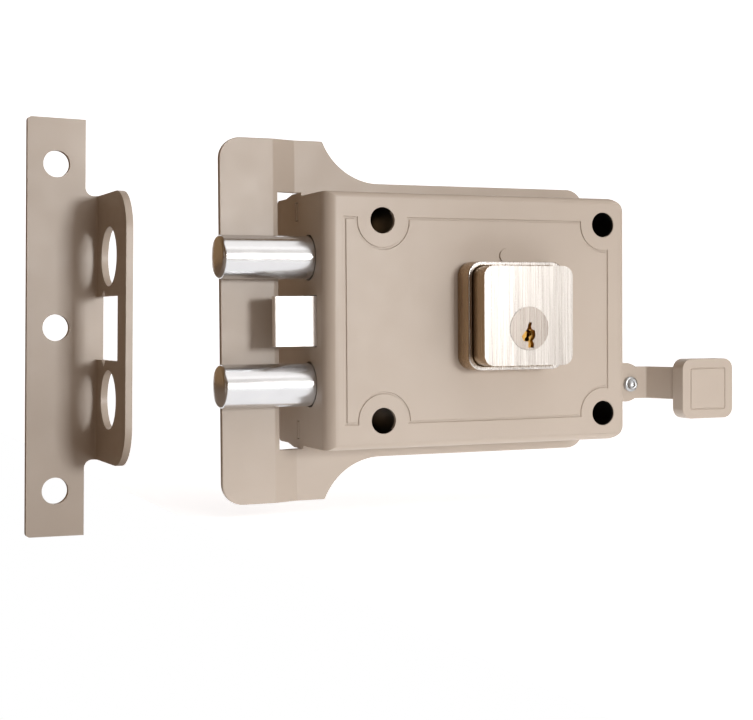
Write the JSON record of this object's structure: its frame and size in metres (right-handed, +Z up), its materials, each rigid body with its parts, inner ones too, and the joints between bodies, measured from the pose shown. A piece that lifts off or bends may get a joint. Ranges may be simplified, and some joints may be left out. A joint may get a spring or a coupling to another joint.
{
  "type": "door lock",
  "caption": "Surface-mounted door lock with two round deadbolts, a sprung latch with a side pull, a key cylinder and a bent strike plate.",
  "frame": {"origin": "middle of the four fixing screw holes, on the back of the back plate, which is the face that lies on the door", "axes": "+Z up the door, +Y into the door, +X from the bolts towards the pull"},
  "size_m": [0.3023, 0.0967, 0.1488],
  "materials": {
    "beige_paint": "smooth satin beige enamel on pressed steel",
    "bright_plate": "bright plated round bar",
    "satin_nickel": "nickel plate, brushed upright",
    "nickelled_brass": "nickelled face, bare brass inside the keyway",
    "brass": "bare turned brass",
    "zinc": "bright zinc plate",
    "spring_steel": "drawn wire",
    "plain_steel": "pressed steel, lightly oiled"
  },
  "bodies": {
    "case": {"back_plate": "beige_paint", "case_cover": "beige_paint", "cover_screws": "zinc", "front_guide": "plain_steel", "rear_guide": "plain_steel", "cylinder_collar": "satin_nickel", "cylinder_block": "satin_nickel", "cylinder_screws": "zinc", "driver_pins": "spring_steel", "pin_springs": "spring_steel", "strike": "beige_paint"},
    "deadbolts": {"upper_deadbolt": "bright_plate", "lower_deadbolt": "bright_plate", "cross_bar": "plain_steel", "bar_screws": "zinc", "rack_bar": "plain_steel", "rack_rivets": "zinc"},
    "latch": {"latch_bolt": "satin_nickel", "latch_tail": "plain_steel", "latch_rivets": "zinc", "latch_spring": "spring_steel", "pull_bar": "plain_steel", "bar_rivets": "zinc", "pull_arm": "beige_paint", "arm_rivet": "zinc", "pull_knob": "beige_paint", "knob_screw": "zinc"},
    "key_plug": {"plug": "nickelled_brass", "drive_pinion": "plain_steel", "pinion_clip": "zinc", "key_pins": "brass"}
  },
  "joints": [
    {"name": "deadbolt_slide", "type": "slide", "parent": "case", "child": "deadbolts", "axis": [1, 0, 0], "range_m": [0, 0.036]},
    {"name": "latch_slide", "type": "slide", "parent": "case", "child": "latch", "axis": [1, 0, 0], "range_m": [0, 0.0165], "stiffness_N_per_m": 400, "springref_m": -0.01, "deforming": ["latch_spring"]},
    {"name": "plug_turn", "type": "hinge", "parent": "case", "child": "key_plug", "pos_m": [0.004, -0.0335, -0.0034], "axis": [0, 1, 0], "range_deg": [0, 360]}
  ],
  "couplings": [
    {"joint": "plug_turn", "follows": "deadbolt_slide", "rad_per_m": 174.53}
  ]
}
